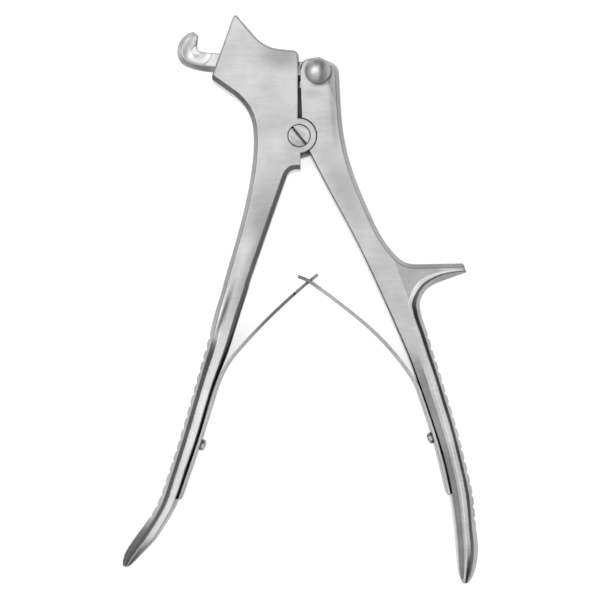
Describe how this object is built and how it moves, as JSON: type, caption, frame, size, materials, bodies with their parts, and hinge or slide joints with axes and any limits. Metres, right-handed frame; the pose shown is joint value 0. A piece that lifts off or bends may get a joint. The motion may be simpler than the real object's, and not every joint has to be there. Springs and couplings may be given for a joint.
{
  "type": "skull punch forceps",
  "caption": "Steel bone punch: a lever handle with a finger rest pulls a hook shaped cutting bar through a flat head, and crossed leaf springs open the handles.",
  "frame": {"origin": "on the pivot screw's axis, on the plane of the back faces that the instrument rests on", "axes": "+Y along the instrument towards the head, +X towards the lever handle, +Z out of the front face"},
  "size_m": [0.1274, 0.2027, 0.0134],
  "materials": {
    "satin_steel": "satin",
    "polished_steel": "polished",
    "spring_steel": "satin"
  },
  "bodies": {
    "frame": {"frame": "satin_steel", "pivot_screw": "polished_steel", "left_spring_foot": "spring_steel", "left_spring_screw": "polished_steel"},
    "lever": {"lever": "satin_steel", "hook_pin": "polished_steel", "right_spring_foot": "spring_steel", "right_spring_screw": "polished_steel"},
    "hook": {"hook_bar": "polished_steel"},
    "left_blade": {"left_spring_blade": "spring_steel"},
    "right_blade": {"right_spring_blade": "spring_steel"}
  },
  "joints": [
    {"name": "lever_hinge", "type": "hinge", "parent": "frame", "child": "lever", "pos_m": [0, 0, 0.0051], "axis": [0, 0, -1], "range_deg": [0, 26.5], "stiffness_Nm_per_rad": 2.5, "springref_deg": -6.88},
    {"name": "hook_hinge", "type": "hinge", "parent": "lever", "child": "hook", "pos_m": [0.0067, 0.0229, 0.0051], "axis": [0, 0, 1], "range_deg": [0, 21.1]},
    {"name": "left_spring_bend", "type": "hinge", "parent": "frame", "child": "left_blade", "pos_m": [-0.0222, -0.0773, 0.0051], "axis": [0, 0, 1], "range_deg": [0, 19.7]},
    {"name": "right_spring_bend", "type": "hinge", "parent": "lever", "child": "right_blade", "pos_m": [0.035, -0.0787, 0.0051], "axis": [0, 0, -1], "range_deg": [0, 20.1]}
  ],
  "couplings": [
    {"joint": "hook_hinge", "follows": "lever_hinge", "ratio": 0.796},
    {"joint": "left_spring_bend", "follows": "lever_hinge", "ratio": 0.74},
    {"joint": "right_spring_bend", "follows": "lever_hinge", "ratio": 0.757}
  ]
}
